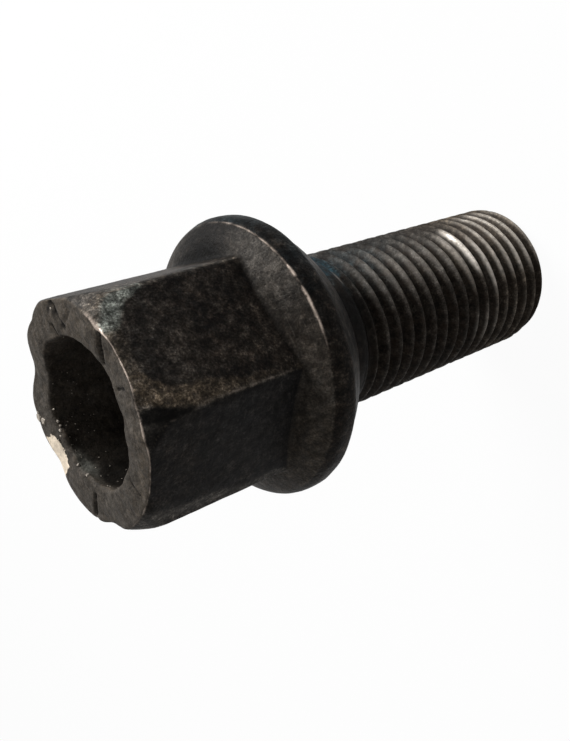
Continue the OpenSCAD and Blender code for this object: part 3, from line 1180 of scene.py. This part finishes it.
def shank_material(groups, looks):
    """Rolled thread: dark valleys, grey crests, and a painted highlight towards the tip, laid as bare steel.
    """
    kit = SteelKit("rolled_thread_steel", groups)
    ridge = ramp(kit.read("crest"), 0.30, 0.90)
    broken = kit.mottle(0.5, 0.72, 0.22, 5.0).fit(0.45, 0.55)
    film = kit.mottle(0.7, 0.40, 0.12, 6.0)
    kit.start(kit.mottle(2.0, 0.8, 0.16, 2.0), looks.black, looks.brown)
    # Grey worn crests, lighter where the painted highlight lies
    kit.lay(ridge * broken * kit.read("crest_wear_and_highlight"), looks.ash)
    kit.lay(kit.read("tip") * ridge.fit(0.6, 0.2) * broken, looks.earth)
    # Painted sheen: blue on the side where the light falls, with the painted highlight on the neck
    kit.lay(kit.mottle(2.0, 0.60, 0.14, 9.0) * kit.read("painted_blue_sheen"), looks.blue)
    kit.shade(kit.group("patina", size=0.7, contrast=1.5))
    kit.lay(film * 0.45, looks.rust)
    # Painted shade: black laid into the thread valleys
    kit.lay(ramp(kit.read("cavity"), 0.20, 1.0) * 0.15, looks.black)
    # Painted shade from the deep mask under the seat and on the lit side
    kit.shade(kit.read("deep").fit(-0.92, 1.0))
    # Painted highlight over the crests, laid as bare steel
    lit = kit.read("painted_highlight") * ridge.fit(0.95, 0.05) * kit.mottle(0.35, 0.70, 0.20, 41.0).fit(0.62, 0.38)
    kit.lay(lit, looks.bare)
    kit.lay(film * (lit * 0.45), looks.earth)
    grain = kit.group("grain", size=0.5, pits=0.5)
    roughness = lit.fit(-0.12, grain.fit(0.2, looks.gloss - 0.08))
    kit.finish(roughness, lit.fit(0.85, 0.03), grain, 0.07, looks.shine)


def grit_material(groups, looks):
    """Pale mineral grains with a few darker ones."""
    kit = SteelKit("sand_grains", groups)
    kit.start(kit.mottle(0.6, 0.45, 0.2, 3.0), looks.grit, looks.ash)
    kit.finish(0.85, 0.0, kit.group("grain", size=0.12, pits=0.4), 0.01, 0.2)


def shared_looks():
    """The materials and the shader groups they share, made once."""
    looks = bpy.context.scene.bolt_steel
    if "forged_head_steel" not in bpy.data.materials:
        groups = {"mottle": mottle_group(), "specks": speck_group(), "rub": rub_group(),
                  "grain": grain_group(), "patina": patina_group(), "streaks": streak_group()}
        head_material(groups, looks)
        shank_material(groups, looks)
        grit_material(groups, looks)
    return bpy.data.materials


# Sand grains


def grit_tree():
    """Small rocks on every point, each turned and shaped its own way."""
    inputs = (("Geometry", "Geometry", None), ("Grain Size", "Float", 0.2 * MM), ("Top", "Float", 48 * MM),
              ("Seed", "Int", 1), ("Sand", "Material", None))
    tree, given = new_group("stuck_grit", "GeometryNodeTree", inputs, ("Geometry", "Geometry"))
    rock = put(tree, "GeometryNodeMeshIcoSphere", {"Radius": 1.0, "Subdivisions": 2}, "Mesh")
    place = put(tree, "GeometryNodeInputPosition")
    lump = noise_at(place, 1.3, 1.0)
    shaped = put(tree, "GeometryNodeSetPosition", {
        "Geometry": rock, "Position": scaled(place, lump.fit(1.1, 0.45))})
    spin = put(tree, "FunctionNodeRandomValue", {"Max": (TURN, TURN, TURN), "Seed": given["Seed"]},
               data_type="FLOAT_VECTOR")
    own = put(tree, "GeometryNodeInputNamedAttribute", {"Name": "grain"}, data_type="FLOAT")
    points = put(tree, "GeometryNodeMeshToPoints", {"Mesh": given["Geometry"]})
    spread = put(tree, "GeometryNodeInstanceOnPoints", {
        "Points": points, "Instance": shaped, "Rotation": spin, "Scale": own * given["Grain Size"]})
    real = put(tree, "GeometryNodeRealizeInstances", {"Geometry": spread})
    x, y, z = split(place)
    kept = put(tree, "GeometryNodeSetPosition", {
        "Geometry": real, "Position": join(x, y, z.least(given["Top"]))})
    return close_group(put(tree, "GeometryNodeSetMaterial", {"Geometry": kept, "Material": given["Sand"]}))


# White grains seen on the lip and the end face: angle, radius, size share
GRAINS = (
    (-176.7, 8.30, 2.1),
    (-174.2, 7.70, 2.1),
    (-179.0, 8.30, 0.9),
    (-172.0, 5.50, 0.8),
    (178.4, 5.55, 0.6),
    (-164.2, 5.55, 0.8),
    (-168.1, 5.30, 0.6),
    (-160.5, 5.75, 0.7),
    (-132.6, 5.75, 0.8),
    (-118.0, 5.50, 0.9),
    (95.0, 7.90, 0.6),
)


def grain_spots(co, s):
    """Where the seen grains and the dust in the hollow stick, and their sizes."""
    radius = np.hypot(co[:, 0], co[:, 1])
    turn = np.degrees(np.arctan2(co[:, 1], co[:, 0]))
    down = s.total_l / MM - co[:, 2]
    spots, sizes = [], []
    for at, r, size in GRAINS:
        gap = np.hypot(*(co[:, :2] - polar(at, r)).T) + 100 * (down >= 1.2) + 0.2 * down
        spots.append(co[int(np.argmin(gap))] - (0, 0, 0.06))
        sizes.append(size)
    dice = np.random.default_rng(s.seed + 40)
    inside = np.where((radius < s.hollow_d / MM / 2 + 0.15) & (down < 9.5) & (radius > 5.0) & (down > 0.6))[0]
    lower = inside[(turn[inside] < -80) | (turn[inside] > 150)]
    for pool, number in ((inside, 60), (lower, 60)):
        for index in dice.choice(pool, number, replace=False):
            spots.append(co[int(index)])
            sizes.append(float(dice.uniform(0.12, 0.34)))
    return np.array(spots), sizes


# Operators


def show(context, name, mesh):
    """Puts a mesh in the scene as an object that rides on the bolt's body."""
    item = bpy.data.objects.new(name, mesh)
    context.scene.collection.objects.link(item)
    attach(item, "root")
    return item


class BOLT_OT_shank(bpy.types.Operator):
    """Makes the threaded shank by its tree"""
    bl_idname = "bolt.shank"
    bl_label = "Threaded shank"

    def execute(self, context):
        s = context.scene.bolt_shank
        lead = 2
        turns = math.ceil(s.joint_z / s.pitch) + lead + 1
        values = {
            "Pitch": s.pitch, "Crest Radius": s.crest_d / 2, "Root Radius": s.root_d / 2,
            "Thread End": s.thread_end, "Run-out": s.runout, "Neck Radius": s.neck_d / 2,
            "Top": s.joint_z, "Tip Radius": s.tip_d / 2, "Tip Slope": s.tip_rise, "Wear Depth": s.wear,
            "Wear Size": s.wear_size, "Seed": float(s.seed), "Steps": s.steps, "Rows": s.rows,
            "Turns": turns, "Lead Turns": lead, "Steel": shared_looks()["rolled_thread_steel"],
        }
        plain = run_tree(thread_tree(), bpy.data.meshes.new("shank_seed"), values, "rolled_thread")
        plain.name = "shank_mesh"
        if len(plain.polygons) < s.steps:
            raise RuntimeError("the thread tree gave no shank")
        return {"FINISHED"}


class BOLT_OT_head(bpy.types.Operator):
    """Adds the seat, flange and hollow hexagon to the shank, as one closed surface"""
    bl_idname = "bolt.head"
    bl_label = "Seat, flange and hexagon"

    def execute(self, context):
        shank = context.scene.bolt_shank
        s = context.scene.bolt_head
        materials = shared_looks()
        lower = bpy.data.meshes["shank_mesh"]
        co = points_of(lower)
        total = len(co)
        crest = np.empty(total, np.float32)
        lower.attributes["crest"].data.foreach_get("value", crest)
        border = np.where(co[:, 2] > shank.joint_z / MM - 1e-4)[0]
        if len(border) != shank.steps:
            raise RuntimeError(f"the shank ends in {len(border)} points, not {shank.steps}")
        order = np.argsort(np.arctan2(co[border, 1], co[border, 0]) % (TURN - 1e-6))

        rings, zones, tip = head_rings(s, shank)
        ids = [[int(v) for v in border[order]]]
        zone_of = ["shank"] * total
        at = total
        for row, zone in zip(rings[1:], zones[1:]):
            ids.append(list(range(at, at + len(row))))
            zone_of += [zone] * len(row)
            at += len(row)
        zone_of.append("hollow")
        last = ids[-1]
        faces = stitch(ids) + [(last[i], last[(i + 1) % len(last)], at) for i in range(len(last))]
        shank_faces = [tuple(p.vertices) for p in lower.polygons]
        mesh = bpy.data.meshes.new(PIECE)
        place = np.concatenate([co, *rings[1:], tip[None]])
        mesh.from_pydata((place * MM).tolist(), [], shank_faces + faces)
        mesh.materials.append(materials["forged_head_steel"])
        mesh.materials.append(materials["rolled_thread_steel"])
        slots = np.zeros(len(mesh.polygons), np.int32)
        slots[:len(shank_faces)] = 1
        mesh.polygons.foreach_set("material_index", slots)
        mesh.update()
        mesh.shade_smooth()
        if mesh.validate(verbose=False):
            raise RuntimeError("the bolt's mesh is not sound")
        skin = Skin(mesh, np.array(zone_of), s, shank.pitch / MM)
        store_masks(skin, np.concatenate([crest, np.zeros(len(place) - total)]))

        bolt = show(context, PIECE, mesh)
        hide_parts("wheel_bolt")
        bpy.data.meshes.remove(lower)
        return {"FINISHED"}


class BOLT_OT_grit(bpy.types.Operator):
    """Sticks sand grains to the end face and dust to the wall of the hollow"""
    bl_idname = "bolt.grit"
    bl_label = "Sand grains"

    def execute(self, context):
        s = context.scene.bolt_head
        spots, sizes = grain_spots(points_of(bpy.data.objects[PIECE].data), s)
        points = bpy.data.meshes.new("grit_points")
        points.from_pydata((spots * MM).tolist(), [], [])
        attribute(points, "grain", sizes)
        values = {"Grain Size": 0.17 * MM, "Seed": s.seed, "Top": s.total_l - SKIN * MM,
                  "Sand": shared_looks()["sand_grains"]}
        show(context, "stuck_grit", run_tree(grit_tree(), points, values, "stuck_grit"))
        return {"FINISHED"}


# Stage

# Lamps: name, place, size, watts
KEY_LAMP = ("key_over_shank", (-0.14, 0.30, 0.25), 0.26, 3.2)
FILL_LAMP = ("fill_by_camera", (0.30, -0.05, 0.34), 0.40, 0.24)
BOLT_MIDDLE = Vector((0, 0, 0.028))

# How far the floor reaches, and how little it lies under the tip face
FLOOR_REACH = 3.0
FLOOR_GAP = 0.00005

# The photo's camera, as it was fitted: its right, its up and where it looks
CAMERA_RIGHT = Vector((0.620456, -0.215758, -0.753978))
CAMERA_UP = Vector((-0.005237, 0.960249, -0.279094))
CAMERA_LOOK = Vector((-0.784224, -0.177114, -0.594663))


def page_share(tree, share_of):
    """How much a ray sees the plain white page: camera, glossy and transmission rays do."""
    path = tree.nodes.new("ShaderNodeLightPath").outputs
    seen = Wire(tree, path["Is Camera Ray"]).most(Wire(tree, path["Is Transmission Ray"]))
    return seen.most(Wire(tree, path["Is Glossy Ray"])) * share_of


def paper_material(looks):
    """Pale paper that shows as a white page and still takes a soft shadow."""
    material = bare_material("pale_floor")
    tree = material.node_tree
    plain = put(tree, "ShaderNodeBsdfDiffuse", {"Color": full(looks.floor)})
    page = put(tree, "ShaderNodeEmission", {"Color": (1, 1, 1, 1), "Strength": 1.0})
    mix = put(tree, "ShaderNodeMixShader", {0: page_share(tree, looks.page), 1: plain, 2: page})
    plug(tree.nodes.new("ShaderNodeOutputMaterial").inputs["Surface"], mix)
    return material


def soft_lamp(scene, name, place, size, watts):
    """A large soft lamp that faces the middle of the bolt."""
    lamp = bpy.data.lights.new(name, "AREA")
    lamp.shape = "DISK"
    lamp.size = size
    lamp.energy = watts
    holder = bpy.data.objects.new(name, lamp)
    holder.location = place
    holder.rotation_euler = (BOLT_MIDDLE - Vector(place)).to_track_quat("-Z", "Y").to_euler()
    scene.collection.objects.link(holder)


class BOLT_OT_stage(bpy.types.Operator):
    """Sets the floor, the lamps and the camera"""
    bl_idname = "bolt.stage"
    bl_label = "Floor, lamps and camera"

    def execute(self, context):
        looks = context.scene.bolt_stage
        scene = context.scene
        floor_mesh = bpy.data.meshes.new("pale_floor")
        corners = [(FLOOR_REACH * x, FLOOR_REACH * y, 0) for x, y in ((-1, -1), (1, -1), (1, 1), (-1, 1))]
        floor_mesh.from_pydata(corners, [], [(0, 1, 2, 3)])
        floor_mesh.materials.append(paper_material(looks))
        floor = bpy.data.objects.new("pale_floor", floor_mesh)
        floor.location.z = -FLOOR_GAP
        scene.collection.objects.link(floor)

        for (name, place, size, watts), strength in ((KEY_LAMP, looks.key), (FILL_LAMP, looks.fill)):
            soft_lamp(scene, name, place, size, watts * strength)
        world = bpy.data.worlds.new("even_sky")
        world.use_nodes = True
        sky = world.node_tree.nodes["Background"]
        sky.inputs["Color"].default_value = (1, 1, 1, 1)
        plug(sky.inputs["Strength"], page_share(world.node_tree, 1.0 - looks.sky) + looks.sky)
        scene.world = world

        camera = bpy.data.cameras.new("photo_camera")
        camera.sensor_fit = "HORIZONTAL"
        camera.sensor_width = 36
        camera.lens = looks.lens
        camera.clip_start = 0.001
        camera.clip_end = 20
        holder = bpy.data.objects.new("photo_camera", camera)
        turn = Matrix((CAMERA_RIGHT, CAMERA_UP, -CAMERA_LOOK)).transposed()
        holder.matrix_world = Matrix.Translation(Vector(looks.place)) @ turn.to_4x4()
        scene.collection.objects.link(holder)
        scene.camera = holder
        scene.view_settings.view_transform = "Standard"
        return {"FINISHED"}


class BOLT_PT_panel(bpy.types.Panel):
    """Lists the steps in the order they run"""
    bl_idname = "BOLT_PT_panel"
    bl_label = "Wheel Bolt"
    bl_space_type = "VIEW_3D"
    bl_region_type = "UI"
    bl_category = "Wheel Bolt"

    def draw(self, context):
        for step in STEPS:
            self.layout.operator(step.bl_idname)
        for group, name in GROUPS:
            box = self.layout.box()
            box.label(text=group.__doc__)
            for key in group.__annotations__:
                box.prop(getattr(context.scene, name), key)


STEPS = (BOLT_OT_stage, BOLT_OT_shank, BOLT_OT_head, BOLT_OT_grit)


def register():
    for group, name in GROUPS:
        bpy.utils.register_class(group)
        setattr(bpy.types.Scene, name, bpy.props.PointerProperty(type=group))
    for item in (*STEPS, BOLT_PT_panel):
        bpy.utils.register_class(item)


def unregister():
    for item in (BOLT_PT_panel, *reversed(STEPS)):
        bpy.utils.unregister_class(item)
    for group, name in reversed(GROUPS):
        delattr(bpy.types.Scene, name)
        bpy.utils.unregister_class(group)


def main():
    register()
    bpy.ops.bolt.stage()
    bpy.ops.bolt.shank()
    bpy.ops.bolt.head()
    bpy.ops.bolt.grit()


if __name__ == "__main__":
    main()
